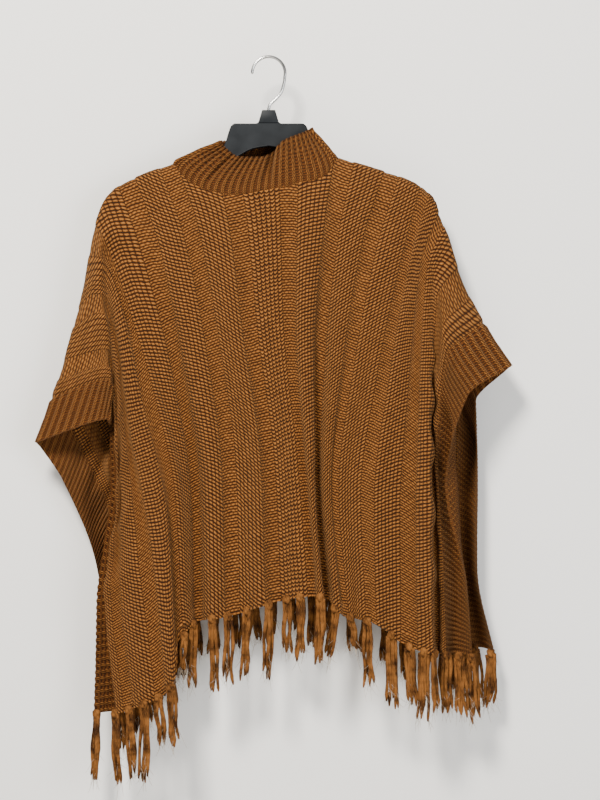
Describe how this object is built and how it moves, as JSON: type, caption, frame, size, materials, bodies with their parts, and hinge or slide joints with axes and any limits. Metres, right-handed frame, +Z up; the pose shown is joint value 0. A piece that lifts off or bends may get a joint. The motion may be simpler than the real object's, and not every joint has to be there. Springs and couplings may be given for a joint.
{
  "type": "knitted poncho on a hanger",
  "caption": "Chunky ribbed and fringed knitted poncho with a short stand collar, hung flat on a plastic hanger with a wire hook.",
  "frame": {"origin": "inside top of the hook, where it rests on a rail or nail", "axes": "+Z up along the line the hanger hangs in, the garment's front faces -Y, +X to the right as seen from the front"},
  "size_m": [0.6248, 0.0843, 0.9597],
  "materials": {
    "knit": "chunky mustard ochre wool-like knit, matt",
    "rib": "two by two rib of the same yarn, matt",
    "yarn": "fuzzy tassels of the same yarn, matt",
    "hanger_plastic": "black, fine satin",
    "hook_wire": "polished, a little worn"
  },
  "bodies": {
    "root": {"front_panel": "knit", "back_panel": "knit", "band_left": "rib", "band_right": "rib", "collar": "rib", "front_fringe": "yarn", "back_fringe": "yarn", "hanger": "hanger_plastic", "hook": "hook_wire"}
  },
  "joints": []
}
